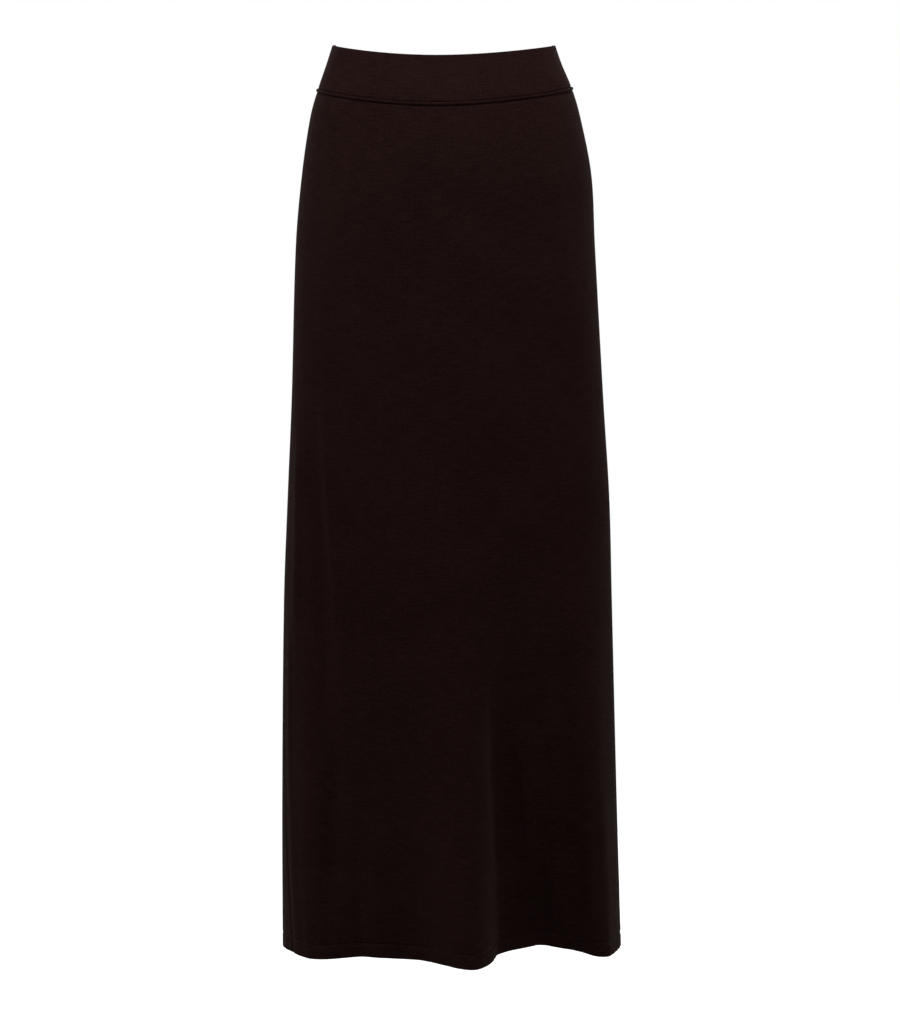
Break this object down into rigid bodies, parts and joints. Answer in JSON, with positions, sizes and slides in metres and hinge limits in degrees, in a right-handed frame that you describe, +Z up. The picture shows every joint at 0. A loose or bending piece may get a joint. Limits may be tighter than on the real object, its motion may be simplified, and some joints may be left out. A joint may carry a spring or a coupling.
{
  "type": "long knit skirt, worn shape",
  "caption": "Ankle-length jersey skirt in its worn, hollow form, with a doubled waistband, a welted waist seam, side seams and soft folds down to a turned-up hem.",
  "frame": {"origin": "middle of the wearer's waist, half-way up the waistband at the side seams, where the wearer holds the skirt up", "axes": "+Z up, along the wearer's body; the front of the skirt faces -Y; +X is the wearer's left"},
  "size_m": [0.3916, 0.3269, 1.0427],
  "materials": {
    "skirt_jersey": "very dark brown fine-gauge viscose jersey with a soft sheen",
    "waistband_jersey": "the same jersey, doubled, smooth and slightly matt",
    "welt_jersey": "the same jersey, rolled into a narrow round welt"
  },
  "bodies": {
    "root": {"skirt_front": "skirt_jersey", "skirt_back": "skirt_jersey", "waistband_front": "waistband_jersey", "waistband_back": "waistband_jersey", "waist_welt": "welt_jersey"}
  },
  "joints": []
}
